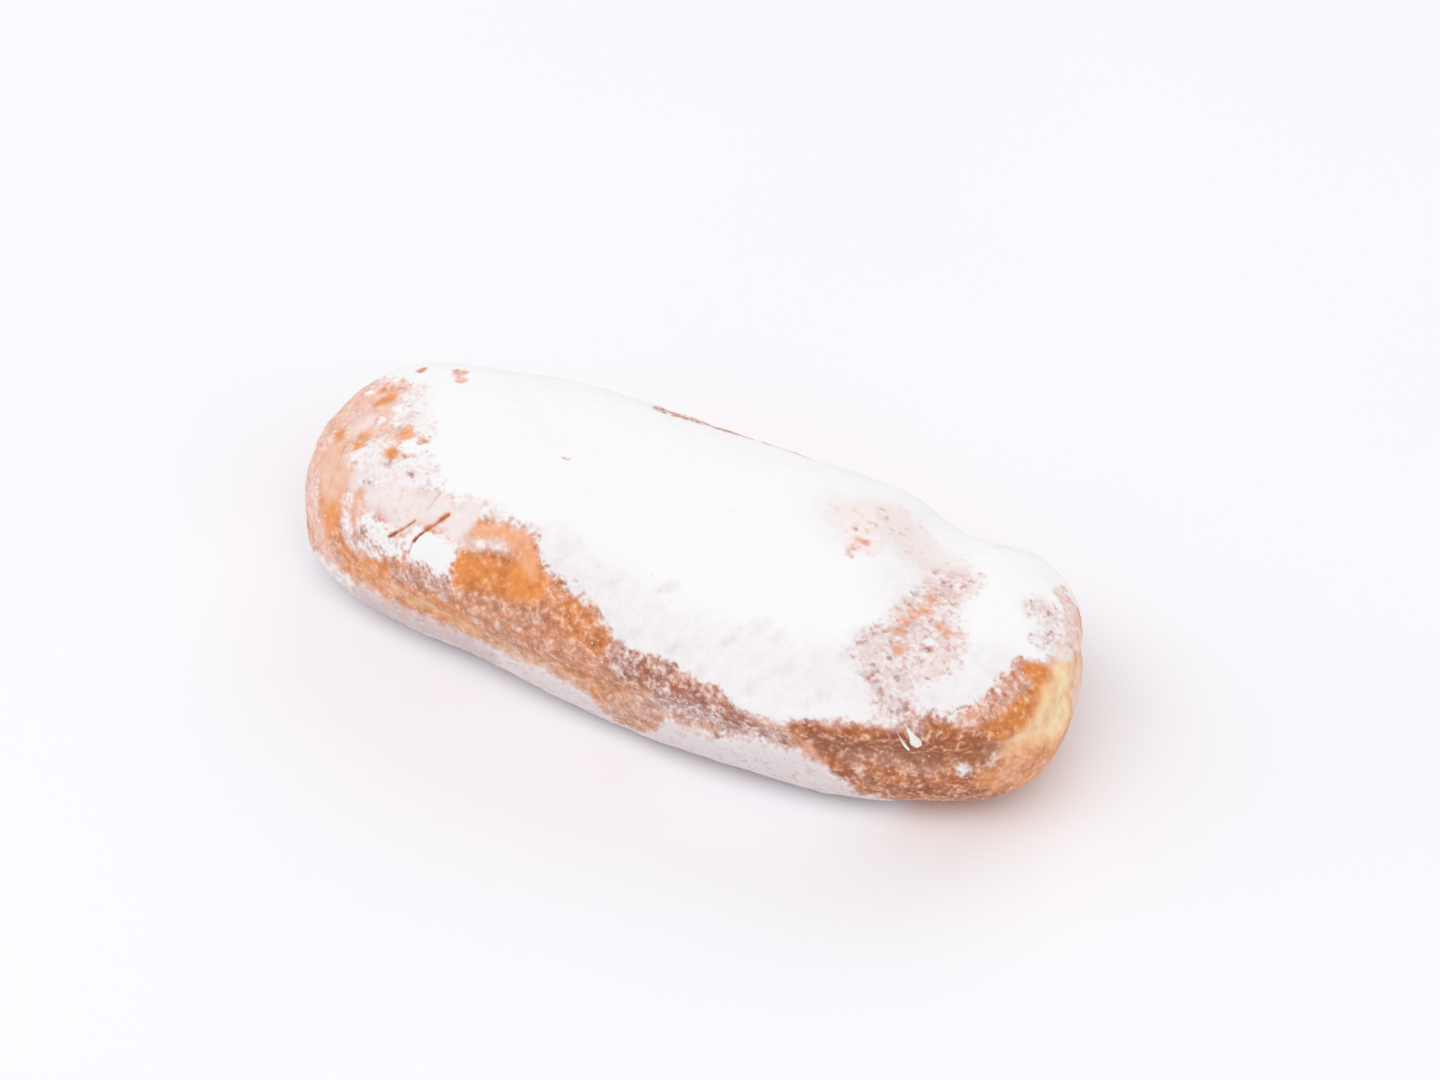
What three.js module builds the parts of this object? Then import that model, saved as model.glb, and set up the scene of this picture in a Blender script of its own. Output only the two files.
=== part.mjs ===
// A long cream-filled doughnut: one body of fried dough with round ends, a flat underside, a soft waist
// where its two fried halves meet, and the dents of handling. The filling doesn't show, so the body is solid.
// Millimetres, +Z up, +X along the doughnut, origin under its middle on the surface that it rests on.
import * as THREE from "three";
import { mergeVertices } from "three/addons/utils/BufferGeometryUtils.js";

// Driving dimensions of the dough
const LENGTH = 150;
const WIDTH = 61;
const HEIGHT = 36.5;
const WIDEST_LEVEL = 15;
const WIDEST_RISE = 2.5; // the broadest part lies higher at the +X end
const SQUARENESS = 2.9; // 2 is an ellipsoid, larger is boxier
const UNDERSIDE_REACH = 1.22; // how far the belly would reach below the widest level, before it is pressed flat
const WIDTH_TAPER = 0.07; // the +X end is broader
const HEIGHT_TAPER = -0.15; // and lower
const SIDEWAYS_BEND = 1.2;

// The waist, a shallow groove right round the side that climbs and deepens towards +X, with a swelling above it
const WAIST = { level: 15.6, rise: 3.6, depth: 0.8, deeperAtEnd: 0.65, spread: 2.2 };
const SWELLING = { above: 5, height: 0.6, higherAtEnd: 0.3, spread: 3.6 };

// Soft hollows and bumps: centre and spread as shares of the half length and half width, then height
const TOP_FORMS = {
  gripDentAtTheBack: { x: 0.59, y: 0.74, spreadX: 0.12, spreadY: 0.45, height: -3.9 },
  gripDentAtTheFront: { x: 0.69, y: -0.5, spreadX: 0.09, spreadY: 0.4, height: -0.9 },
  endKnuckle: { x: 0.86, y: 0.1, spreadX: 0.12, spreadY: 0.6, height: 0.7 },
  sagOverTheFilling: { x: 0.2, y: -0.05, spreadX: 0.34, spreadY: 0.5, height: -0.6 },
  foldByTheTallEnd: { x: -0.6, y: -0.35, spreadX: 0.07, spreadY: 0.5, height: -0.8 },
  blisterAtTheFront: { x: -0.3, y: -0.84, spreadX: 0.17, spreadY: 0.22, height: 0.7 },
  hollowAtTheBack: { x: 0.05, y: 0.8, spreadX: 0.22, spreadY: 0.25, height: -0.6 },
  plumpCornerAtTheBack: { x: -0.9, y: 0.45, spreadX: 0.16, spreadY: 0.45, height: 1.4 },
  plumpRimOfTheTallEnd: { x: -0.95, y: 0, spreadX: 0.1, spreadY: 0.35, height: 0.8 },
};
const BELLY_FORMS = {
  tuckedFront: { x: -0.42, y: -1, spreadX: 0.2, spreadY: 0.5, height: -1.9 },
  fullLowEnd: { x: 0.98, y: -0.35, spreadX: 0.16, spreadY: 0.5, height: 2.8 },
  fullTallEnd: { x: -0.92, y: -0.6, spreadX: 0.14, spreadY: 0.4, height: 0.8 },
};

// The levels, as shares of the body's rise or drop, between which the top's and the belly's forms fade
const TOP_FADE = { none: 0, full: 0.5 };
const BELLY_FADE = { full: -0.1, none: 0.4 };

// Gentle unevenness of risen dough, a sum of seeded waves
const UNEVENNESS = { waves: 9, height: 0.16, shortest: 17, longest: 44, seed: 7 };

// Colour of the sugared crust as a whole
const SUGARED_CRUST = { color: 0xf0dcc8, roughness: 0.85, metalness: 0 };

// Facets round the body and along it
const AROUND = 60;
const ALONG = 84;

const HALF_LENGTH = LENGTH / 2;
const HALF_WIDTH = WIDTH / 2;

const bell = (distance, spread) => Math.exp(-((distance / spread) ** 2));

// Repeatable random numbers from 0 to 1, from a linear congruential generator
function seededRandom(seed) {
  const multiplier = 1664525;
  const increment = 1013904223;
  const modulus = 2 ** 32;
  let state = seed;
  return () => {
    state = (state * multiplier + increment) % modulus;
    return state / modulus;
  };
}

// The waves that make the dough uneven, each with a wave vector and a phase
function makeWaves({ waves, shortest, longest, seed }) {
  const random = seededRandom(seed);
  return Array.from({ length: waves }, () => {
    const polar = Math.acos(2 * random() - 1);
    const turn = 2 * Math.PI * random();
    const waveNumber = (2 * Math.PI) / THREE.MathUtils.lerp(shortest, longest, random());
    const vector = new THREE.Vector3().setFromSphericalCoords(waveNumber, polar, turn);
    return { vector, phase: 2 * Math.PI * random() };
  });
}

const doughWaves = makeWaves(UNEVENNESS);

// A point of the unit sphere, pushed out to the rounded box whose coordinates run from -1 to 1
function roundedBox(direction) {
  const sum = direction.toArray().reduce((total, c) => total + Math.abs(c) ** SQUARENESS, 0);
  return direction.clone().multiplyScalar(sum ** (-1 / SQUARENESS));
}

// The smooth body: the rounded box at its real size, tapered and bent
function smoothBody(share) {
  const widest = WIDEST_LEVEL + WIDEST_RISE * share.x;
  const rise = (HEIGHT - widest) * (1 + HEIGHT_TAPER * share.x);
  const drop = widest * UNDERSIDE_REACH;
  return new THREE.Vector3(
    HALF_LENGTH * share.x,
    HALF_WIDTH * share.y * (1 + WIDTH_TAPER * share.x) + SIDEWAYS_BEND * share.x ** 2,
    widest + share.z * (share.z > 0 ? rise : drop),
  );
}

// The body's outward direction, from the gradient of the rounded box
function outward(share) {
  const slope = (c, half) => (Math.sign(c) * Math.abs(c) ** (SQUARENESS - 1)) / half;
  const halfHeight = share.z > 0 ? HEIGHT - WIDEST_LEVEL : WIDEST_LEVEL * UNDERSIDE_REACH;
  return new THREE.Vector3(
    slope(share.x, HALF_LENGTH),
    slope(share.y, HALF_WIDTH),
    slope(share.z, halfHeight),
  ).normalize();
}

function waistRelief(share, point) {
  const above = point.z - (WAIST.level + WAIST.rise * share.x);
  const depth = WAIST.depth + WAIST.deeperAtEnd * share.x;
  const height = SWELLING.height + SWELLING.higherAtEnd * share.x;
  return height * bell(above - SWELLING.above, SWELLING.spread) - depth * bell(above, WAIST.spread);
}

function formRelief(forms, share) {
  return Object.values(forms).reduce(
    (total, f) => total + f.height * bell(share.x - f.x, f.spreadX) * bell(share.y - f.y, f.spreadY),
    0,
  );
}

// The top's forms fade out towards the widest level, and the belly's fade out above it
function handledRelief(share) {
  const upper = THREE.MathUtils.smoothstep(share.z, TOP_FADE.none, TOP_FADE.full);
  const lower = 1 - THREE.MathUtils.smoothstep(share.z, BELLY_FADE.full, BELLY_FADE.none);
  return upper * formRelief(TOP_FORMS, share) + lower * formRelief(BELLY_FORMS, share);
}

function doughRelief(point) {
  return doughWaves.reduce((total, w) => total + UNEVENNESS.height * Math.sin(w.vector.dot(point) + w.phase), 0);
}

// One point of the doughnut's surface, from its direction on the unit sphere
function surfacePoint(direction) {
  const share = roundedBox(direction);
  const point = smoothBody(share);
  const relief = waistRelief(share, point) + handledRelief(share) + doughRelief(point);
  point.addScaledVector(outward(share), relief);
  point.z = Math.max(0, point.z);
  return point;
}

function makeDoughnut() {
  const sphere = new THREE.SphereGeometry(1, AROUND, ALONG).rotateZ(-Math.PI / 2);
  sphere.deleteAttribute("normal");
  sphere.deleteAttribute("uv");
  const geometry = mergeVertices(sphere);
  const places = geometry.getAttribute("position");
  const direction = new THREE.Vector3();
  for (let i = 0; i < places.count; i++) {
    direction.fromBufferAttribute(places, i).normalize();
    places.setXYZ(i, ...surfacePoint(direction).toArray());
  }
  geometry.computeBoundingBox();
  const middle = geometry.boundingBox.getCenter(new THREE.Vector3());
  geometry.translate(-middle.x, -middle.y, 0);
  geometry.computeVertexNormals();
  const mesh = new THREE.Mesh(geometry, new THREE.MeshStandardMaterial(SUGARED_CRUST));
  mesh.name = "doughnut";
  return mesh;
}

const doughnut = new THREE.Group();
doughnut.add(makeDoughnut());

export default doughnut;
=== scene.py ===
"""A long cream-filled doughnut: fried crust under powdered sugar, loose sugar, flakes and a plain stage."""

import math

import bmesh
import bpy
import numpy as np
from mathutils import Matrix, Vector, noise


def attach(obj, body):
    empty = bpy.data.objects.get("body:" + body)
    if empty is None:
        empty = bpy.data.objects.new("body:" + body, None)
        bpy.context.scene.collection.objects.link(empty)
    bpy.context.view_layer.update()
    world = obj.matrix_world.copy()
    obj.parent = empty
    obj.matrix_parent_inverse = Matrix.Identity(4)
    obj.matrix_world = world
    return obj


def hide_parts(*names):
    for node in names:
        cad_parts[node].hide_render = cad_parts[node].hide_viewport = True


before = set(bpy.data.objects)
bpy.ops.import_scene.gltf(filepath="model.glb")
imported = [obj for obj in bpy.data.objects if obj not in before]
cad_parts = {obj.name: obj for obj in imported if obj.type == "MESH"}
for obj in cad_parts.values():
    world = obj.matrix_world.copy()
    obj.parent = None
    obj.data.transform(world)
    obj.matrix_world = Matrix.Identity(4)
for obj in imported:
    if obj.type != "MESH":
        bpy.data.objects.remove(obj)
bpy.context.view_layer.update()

bl_info = {
    "name": "Sugared doughnut",
    "version": (1, 0, 0),
    "blender": (4, 5, 0),
    "location": "3D View > Sidebar > Doughnut",
    "description": "Dresses the solid of a filled doughnut with crust, powdered sugar and loose sugar",
    "category": "Object",
}

MM = 0.001
NODE = "doughnut"
BODY = "root"


def from_screen(red, green, blue):
    """A colour as a screen shows it, 0 to 255, turned into Blender's linear values."""
    shares = (channel / 255 for channel in (red, green, blue))
    return tuple(s / 12.92 if s <= 0.04045 else ((s + 0.055) / 1.055) ** 2.4 for s in shares)


# Kinds of setting


def a_number(name, description, default, **more):
    return bpy.props.FloatProperty(name=name, description=description, default=default, **more)


def a_length(name, description, default, least=0.0):
    """A setting for a length, given in millimetres."""
    return a_number(name, description, default * MM, min=least * MM, subtype="DISTANCE", unit="LENGTH")


def an_angle(name, description, default):
    """A setting for an angle, given in degrees."""
    return a_number(name, description, math.radians(default), subtype="ANGLE", unit="ROTATION")


def a_colour(name, description, screen_colour):
    """A setting for a colour, given as a screen shows it."""
    return bpy.props.FloatVectorProperty(
        name=name, description=description, default=from_screen(*screen_colour), min=0, max=1,
        subtype="COLOR")


# Sizes and colours that a user would change


class DoughSettings(bpy.types.PropertyGroup):
    mesh_step: a_length("Mesh step", "Distance between the points of the dough's mesh", 0.57, least=0.2)
    blister_height: a_length(
        "Blister height", "Height of the small blisters that frying leaves on the crust", 0.16)
    crease_depth: a_length("Crease depth", "Depth of the dark crease in the waist, near the low end", 0.6)
    scratch_depth: a_length("Scratch depth", "Depth of the scratches in the sugar at the tall end", 0.24)
    golden: a_colour("Golden crust", "Colour of crust that is fried golden", (243, 153, 80))
    brown: a_colour("Brown crust", "Colour of crust that is fried brown", (158, 90, 58))
    pale: a_colour("Pale crust", "Colour of the waist, which the hot fat hardly reached", (255, 230, 184))


class SugarSettings(bpy.types.PropertyGroup):
    depth: a_length("Depth", "Depth of the sugar where it lies thick", 0.4)
    unevenness: a_length("Unevenness", "Height of the soft heaps in thick sugar", 0.22)
    white: a_colour("White", "Colour of the sugar where it lies thick", (249, 248, 248))
    # The damp colour is also painted shade: it greys the sugar on the front slope, on the lower half and in
    # streaks
    damp_and_shade: a_colour("Damp sugar and painted shade", "Colour of sugar that has drawn moisture, also painted as shade", (222, 209, 213))
    film: a_colour("Film", "Colour of a thin film of sugar", (244, 230, 235))
    caked: a_colour("Caked", "Colour of sugar that has caked with fat", (249, 245, 235))
    smallest_clump: a_length("Smallest clump", "Radius of the smallest loose clump", 0.08)
    largest_clump: a_length("Largest clump", "Radius of the largest loose clump", 0.2)
    clump_density: a_number(
        "Clump density", "Loose clumps on a square metre where they lie densest", 320000, min=0)
    seed: bpy.props.IntProperty(name="Seed", description="Seed of the loose clumps", default=5)


class StageSettings(bpy.types.PropertyGroup):
    floor: a_colour("Floor", "Colour of the floor", (249, 249, 252))
    sky: a_colour("Sky", "Colour of the light from all round", (248, 247, 249))
    sky_strength: a_number("Sky strength", "Strength of the light from all round", 0.54, min=0)
    softbox_power: a_number(
        "Softbox power", "Power of the largest softbox", 26.0, min=0, subtype="POWER", unit="POWER")
    azimuth: an_angle(
        "Azimuth", "Direction of the camera, round the doughnut from its front towards its low end", 26.73)
    elevation: an_angle("Elevation", "Height of the camera's direction over the floor", 43.25)
    distance: a_length("Distance", "Distance of the camera from the point that it looks at", 800)
    lens: a_number("Lens", "Focal length of the camera on a sensor 36 mm wide", 105.35, unit="CAMERA")


# What lies where on the dough, in millimetres from the frame's origin: along, across to the back, and up

# Lower edge of the thick sugar on top, as the level at places along the doughnut
FRONT_EDGE = (
    (-76, 33.5), (-62, 34), (-46, 34.6), (-38, 34.6), (-31, 35.2), (-24, 36), (-20, 35.5), (-17, 34.2),
    (-14, 33), (-10, 31.4), (-5, 30.1), (-1, 28.1), (1.5, 25.8), (5, 24.6), (11, 25.4), (14, 24.1),
    (17, 23.2), (23, 23.6), (33, 22.4), (41, 24.4), (50, 25.2), (56, 27), (64, 26.8), (66.5, 27.8),
    (76, 28.6))
BACK_EDGE = (
    (-76, 30), (-56, 25), (-44, 20), (-32, 23), (-20, 30), (-8, 30.5), (4, 29), (14, 28), (24, 21),
    (36, 18), (48, 22), (56, 20), (66, 25), (76, 28))

# Upper edge of the sugar on the lower half
FRONT_LOWER_EDGE = (
    (-76, 9), (-58, 10.6), (-46, 10), (-34, 10), (-28, 11.6), (-22, 12), (-14, 13.2), (-10, 11.6),
    (-5, 11.6), (-2, 7), (0, 5.6), (5.5, 5.8), (9, 9.2), (11.5, 13), (15, 15.4), (19, 16.6), (22, 15.8),
    (30, 16), (36, 15.6), (41, 14.6), (47, 12.8), (50, 8), (54, 1), (76, -4))
BACK_LOWER_EDGE = (
    (-76, 2), (-58, 8), (-40, 12), (-26, 9), (-10, 4), (6, 2), (20, 8), (38, 12), (54, 9), (64, 4),
    (76, -2))

# The pale ring of the waist: its level, how far it reaches up and down, and how strong it is
PALE_LEVEL = (
    (-76, 16), (-58, 15.5), (-38, 14.8), (-30, 13.2), (-22, 14), (-12, 13.8), (10, 14), (46, 17.5),
    (76, 18.5))
PALE_REACH = ((-76, 4), (-46, 3.2), (0, 3), (60, 4), (70, 4.5), (76, 6))
PALE_STRENGTH = ((-76, 0.45), (-60, 0.4), (-12, 0.4), (0, 0.2), (40, 0.1), (66, 0.2), (73, 0.55), (76, 0.7))

# Rubbed, dusted and browned places, painted in this order, with some painted shade among them. Each is full
# within its reach of a path or of spots, and fades over its edge. Spots with a run are the starts of streaks.
# Sugar is how much lies on the crust, dust is a thin even film of it, specks are small bare dots in it, damp
# is how grey it is, from damp in the films and as painted shade on the front slope, on the foot and in
# streaks, brown is how dark the crust is, with painted shadow as brown beside the flake, and pale is how
# little it is fried.
STROKES = {
    # Painted shade: a damp grey over the front slope of the thick sugar, which turns away from the light
    "painted shade on the slope of the front": dict(path=(
        (-16, -22, 33.6), (-4, -24.5, 31), (10, -27, 28.5), (26, -26, 28.5), (42, -22, 30), (58, -19, 28.5),
        (64, -8, 28.6)), reach=2.5, edge=7, damp_and_shade=0.22),
    "bare tall end": dict(path=((-70, -10, 24), (-64, -18, 22), (-60, -21, 18)),
        reach=6, edge=8, sugar=0.38, dust=0.3, brown=0.03, pale=0.1, specks=0.15),
    "speckled top of the tall end": dict(path=((-69, 4, 31), (-63, 2, 33.3), (-61, -8, 33), (-57, -10, 34)),
        reach=2.6, edge=5, sugar=0.28, dust=0.52, brown=0.14, specks=0.25, pale=0.12),
    "dusted top of the tall end": dict(path=((-70, -4, 29.6), (-66, -5, 31.6), (-63.4, -6, 32.7)),
        reach=1.2, edge=3, sugar=0.28, dust=1, brown=0.1, pale=0.12),
    "film behind the speckled top": dict(path=((-58, 4, 34.6), (-56, -2, 35), (-51, -5, 35.7)),
        reach=0.3, edge=5, sugar=0.65, dust=1, brown=0.3, damp_and_shade=0.1),
    "rim of the tall end": dict(path=((-73, 4, 22), (-72, -4, 27)),
        reach=4.5, edge=6, sugar=0.38, dust=0.3, brown=0.08, specks=0.2, pale=0.15),
    "orange cheek": dict(path=((-65, -16.8, 24.8), (-63.2, -19, 22.6), (-61.8, -20.5, 20.4)),
        reach=2, edge=3.5, sugar=0.1, brown=0, pale=0.05),
    "peach cheek": dict(path=((-66.8, -11.8, 29), (-65, -15.5, 26.5)),
        reach=2.2, edge=3, sugar=0.16, dust=0.36, brown=0, pale=0.3),
    "film on the tall end": dict(path=((-56, -17.5, 30.6), (-50, -18, 32), (-47, -20.5, 31)),
        reach=1.8, edge=5, sugar=0.22, dust=1.7, brown=0.15, specks=0.25, damp_and_shade=0.1),
    "thin sugar over the film": dict(path=((-60, -12, 32.2), (-54, -13.5, 33.8), (-47, -14, 35)),
        reach=1.4, edge=4, sugar=0.8, dust=0.8, damp_and_shade=0.15),
    "peach flame beside the film": dict(path=((-57.5, -19, 28.5), (-56, -20.5, 26.3), (-54.9, -22, 24.6)),
        reach=0.7, edge=2.2, sugar=0.28, dust=0.3, brown=0.1, pale=0.1),
    "speckled band of the front": dict(path=(
        (-58, -23, 18), (-45, -26, 19.5), (-34, -27.5, 21), (-16, -30, 22), (-4, -30.5, 21), (8, -31, 20),
        (20, -31, 19)), reach=3.5, edge=4.5, sugar=0.22, brown=0.45, specks=0.15, dust=0.1),
    "red-brown foot of the tall end": dict(path=((-61, -21.8, 17.6), (-57, -23.2, 18)),
        reach=1.2, edge=3, sugar=0.28, brown=0.45),
    "sugared foot of the tall end": dict(path=((-66, -19.5, 9), (-61.4, -22, 9.4), (-56.5, -23.5, 9)),
        reach=0.8, edge=2.6, sugar=0.6, dust=1, brown=0.4),
    # Painted shade: a damp grey on the foot of the front, which turns under towards the floor
    "painted shade on the foot of the front": dict(path=((-54, -24, 8.5), (-40, -25.5, 8.5), (-28, -26.4, 8)),
        reach=1.4, edge=3, sugar=0.6, dust=0.8, damp_and_shade=0.85),
    "golden part of the front band": dict(path=(
        (-58, -23, 16.5), (-45.5, -26, 17), (-38, -26.7, 16.6), (-31, -27.2, 15)),
        reach=2, edge=3, sugar=0.2, brown=0.18),
    "red-brown row under the heap": dict(path=((-46, -26, 20), (-38.3, -27, 22.6), (-33.8, -27.4, 24.4)),
        reach=0.7, edge=2, sugar=0.34, brown=0.6, specks=0.3, dust=0.2),
    "sugar streak beside the orange cheek": dict(path=(
        (-59.9, -19.2, 26.6), (-59.2, -20.8, 23.2), (-58.2, -22.2, 20.6), (-55.1, -23.4, 20.8),
        (-51.6, -24, 21.6)), reach=0.5, edge=2, sugar=0.6, dust=0.4),
    "smooth bare patch": dict(path=(
        (-31.3, -26.9, 27.2), (-26.6, -26.9, 29), (-21.7, -27.1, 29.8), (-17.7, -26.6, 30.6)),
        reach=2, edge=2.6, sugar=0.03, brown=0.2),
    "bare top of the patch": dict(path=(
        (-29.5, -22.5, 33.4), (-26.6, -21.3, 34.5), (-22.6, -21.7, 34.7), (-20.2, -23.3, 33.8),
        (-18.5, -25, 32)), reach=0.8, edge=2.2, sugar=0.14, dust=0.1, brown=0.05, pale=0.1),
    "sugar across the patch": dict(path=((-33.9, -24.1, 31), (-28.6, -23.5, 32.7), (-24.8, -23.3, 33.4)),
        reach=0.2, edge=1.8, sugar=0.45, dust=0.5, pale=0.3),
    "film above the heap": dict(path=(
        (-43, -19.5, 32.8), (-39.8, -20.5, 32.9), (-35.2, -21.8, 33), (-34, -19.6, 34.6)),
        reach=0.8, edge=3.6, sugar=0.22, dust=1.8, brown=0.2, damp_and_shade=0.15),
    "sugar heap beside the scratches": dict(path=((-41.6, -24.4, 27.7), (-36.9, -25.3, 28)),
        reach=1.8, edge=3.4, sugar=1.1),
    "sugar strip beside the scratches": dict(path=((-53, -22.6, 25.2), (-47, -24.4, 25.2)),
        reach=1, edge=3.4, sugar=0.95),
    "orange wedge of the second scratch": dict(path=(
        (-40.9, -22.6, 30.6), (-39.2, -21.4, 32.2), (-37.8, -20.5, 33.4)),
        reach=0.2, edge=1.1, sugar=0.2, dust=0.1, brown=0.1),
    "bare patch beside the smooth one": dict(path=(
        (-10.9, -28.7, 27.3), (-6.9, -29, 26.5), (-2.1, -29.5, 25.3)),
        reach=1.4, edge=2.4, sugar=0.2, brown=0.42),
    "golden spot under the bare patches": dict(spots=((-8.4, -29.7, 16), (-6.5, -29.8, 16.4)),
        reach=0.6, edge=2, sugar=0.15, brown=0.35),
    "sugar flecks in the front band": dict(spots=(
        (-35.4, -27.8, 20.7), (-28.2, -29, 18.6), (-23, -29.8, 20.8), (-19, -29.5, 22), (-12, -30, 20.5)),
        reach=0.2, edge=1.5, sugar=0.5, dust=0.4, pale=0.4),
    "dark speckles under the sugar's edge": dict(path=(
        (3.2, -30.5, 22.8), (8.3, -30.7, 22.7), (13.5, -31.2, 21.8), (20, -31.2, 20), (26, -30.8, 19)),
        reach=2, edge=3, sugar=0.33, dust=0.06, brown=0.75, specks=0.5),
    "tan foot of the front": dict(path=(
        (0.5, -29.6, 9.6), (4, -30, 10.4), (7, -30.5, 13), (7.6, -30.3, 15)),
        reach=1.4, edge=3.2, sugar=0.28, dust=0.14, brown=0.58, pale=0.22),
    "speckles between the two coats": dict(path=(
        (10.5, -30.5, 16.2), (14, -30.8, 16.4), (19, -30.9, 18), (26, -30.6, 17.5), (32, -29.8, 18)),
        reach=1.2, edge=2.4, sugar=0.38, dust=0.25, brown=0.75, specks=0.5),
    "dark spots between the two coats": dict(spots=((23.8, -30.9, 19), (25.5, -30.5, 18.3)),
        reach=0.2, edge=1.2, sugar=0.1, brown=1),
    "specks in the lower sugar": dict(spots=(
        (20, -30.5, 15.1), (21.8, -30.7, 14.4), (30, -29.6, 16.2), (34.2, -29.1, 16.1), (39, -28.8, 14.9)),
        reach=0.1, edge=1.2, sugar=0.5, brown=0.9),
    "bare band of the low end": dict(path=(
        (38.5, -29.6, 21), (43.3, -28.5, 21), (49.4, -27.2, 22.2), (55.3, -25.5, 22.8), (60.8, -23.1, 23.4),
        (64.5, -20.7, 23.9), (67.2, -18.3, 23.6)), reach=1.8, edge=2.2, sugar=0.12, brown=0.7),
    "brown band under the bare one": dict(path=(
        (42, -28.4, 18), (49.3, -26.7, 19.5), (56, -24.6, 19), (63, -21.5, 18.5), (68, -18, 18.5)),
        reach=1.4, edge=2.4, sugar=0.12, brown=0.9),
    "darkest part of the brown band": dict(path=(
        (53, -26, 22), (57, -24.4, 21.6), (61, -22.6, 21), (65, -20, 19.5)),
        reach=1.4, edge=2.4, sugar=0.08, brown=0.9),
    "ledge under the crease": dict(path=((46, -27, 16.2), (49.1, -26.3, 16.6), (53, -25.2, 16.6)),
        reach=0.7, edge=1.6, sugar=0.16, dust=0.1, brown=0.8, pale=0),
    "pink ledge under the crease": dict(path=((56.9, -24.3, 15.5), (61, -22.8, 15.4)),
        reach=0.5, edge=1.4, sugar=0.2, dust=0.15, brown=0.7),
    "tan crust under the crease": dict(path=(
        (49.6, -26.9, 11.1), (54.6, -25.1, 11), (60, -23, 10.5), (64.3, -21.3, 12), (70.3, -17.8, 13)),
        reach=2.6, edge=3.6, sugar=0.2, brown=0.64, specks=0.2, pale=0),
    "pale flecks under the crease": dict(spots=((64.5, -20.9, 16.2), (69.2, -17.9, 16.9)),
        reach=0.4, edge=1.8, sugar=0.85),
    "brown spot in the lower sugar": dict(path=((43.9, -28.2, 14), (46.1, -27.8, 13.4)),
        reach=0.9, edge=1.3, sugar=0.08, brown=0.75),
    "golden band of the low end": dict(path=(
        (69, -16, 24), (70.2, -14.2, 24.2), (71.7, -10.6, 24.8), (72.2, -7.4, 25)),
        reach=1.4, edge=2.4, sugar=0.06, brown=0.36),
    "speckled edge of the low end": dict(path=(
        (64.2, -18.7, 26), (66.8, -14.2, 26.7), (67, -9, 27.6), (68, -4, 27.8)),
        reach=0.9, edge=1.8, sugar=0.34, dust=0.2, brown=0.4, specks=0.6),
    "pale low end": dict(path=((73.8, 1.5, 23), (74.4, -2.2, 20.5), (75.2, -6, 17.6)),
        reach=2.2, edge=4, sugar=0.1, brown=0, pale=0.95),
    "light gold of the low end": dict(path=(
        (73.9, -5, 23), (73.4, -8, 21.2), (73.2, -11.2, 19.2), (72.8, -13.6, 17.4)),
        reach=1.6, edge=3, sugar=0.12, brown=0.06, pale=0.85),
    "golden foot of the low end": dict(path=(
        (71, -17, 13.5), (73, -15, 14), (74.6, -12.6, 14.4), (75, -4, 11), (75, 6, 11)),
        reach=2.2, edge=4.5, sugar=0.2, brown=0.25, pale=0.15),
    "peach rim of the low end": dict(path=((75.3, 3.5, 14.3), (74.6, 9, 17), (73, 11, 21)),
        reach=1.6, edge=3, sugar=0.25, dust=0.4, brown=0.1, pale=0.4),
    "golden spot of the low end": dict(path=((70.2, -3.4, 26.9), (72.2, -3.6, 25.7)),
        reach=1.2, edge=1.8, sugar=0.04, brown=0.3),
    "speckled shoulder of the low end": dict(path=(
        (64.5, 9, 29.2), (66.5, 9.5, 28.4), (68, 8, 27.8), (68.5, 4, 27.7)),
        reach=0.9, edge=4.2, sugar=0.6, dust=0.9, brown=0.55, specks=0.6, damp_and_shade=0.2),
    "rim of the low end": dict(path=(
        (66.7, 16.5, 26.8), (69.8, 13.9, 25.6), (72.2, 8.9, 24.8), (72.5, 4.6, 25.3)),
        reach=0.9, edge=2.2, sugar=0.45, dust=0.7, brown=0.15, specks=0.3, damp_and_shade=0.2),
    "damp halo of the saddle": dict(path=((27.4, 10.5, 34.5), (33, 12, 33.2), (42, 8, 32), (46, 0, 32.3)),
        reach=3, edge=10, damp_and_shade=0.2, dust=1.8),
    "film at the back of the saddle": dict(path=(
        (27.4, 10.5, 34.5), (31, 13, 33.6), (33, 15, 32.7), (36, 15.4, 31.5)),
        reach=1.2, edge=6, sugar=0.2, dust=2, brown=0.15, specks=0.3, damp_and_shade=0.12),
    "film beside the slash": dict(path=((28.6, 8.6, 34.5), (31, 5.6, 34.4), (34, 5.6, 34)),
        reach=0.4, edge=4, sugar=0.3, dust=1.7, brown=0.15, specks=0.2),
    "film along the saddle": dict(path=((36, 13, 32), (42, 10, 31.6), (47, 8, 31.3), (49.7, 7, 31.3)),
        reach=1.4, edge=6, sugar=0.25, dust=1.9, brown=0.3, specks=0.4, damp_and_shade=0.18),
    "rubbed saddle, middle": dict(path=(
        (49, 5, 31.2), (48.3, 0.3, 31.6), (47.6, -4.6, 32.1), (48, -12, 32)),
        reach=2, edge=5, sugar=0.5, dust=0.7, brown=0.45, specks=0.5, damp_and_shade=0.2),
    "rubbed saddle, side": dict(path=(
        (53.6, -4.4, 30.8), (55, -7.5, 30.5), (55.4, -11, 30.4), (54.4, -14.5, 30.2)),
        reach=0.8, edge=4.5, sugar=0.4, dust=1.1, brown=0.4, specks=0.5, damp_and_shade=0.2),
    "rubbed saddle, front": dict(path=(
        (45, -15, 32), (46, -18, 31), (48.5, -19.5, 29.8), (51.5, -21.5, 28.4)),
        reach=1.8, edge=4.5, sugar=0.5, dust=0.9, brown=0.6, specks=0.5, damp_and_shade=0.25),
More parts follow.
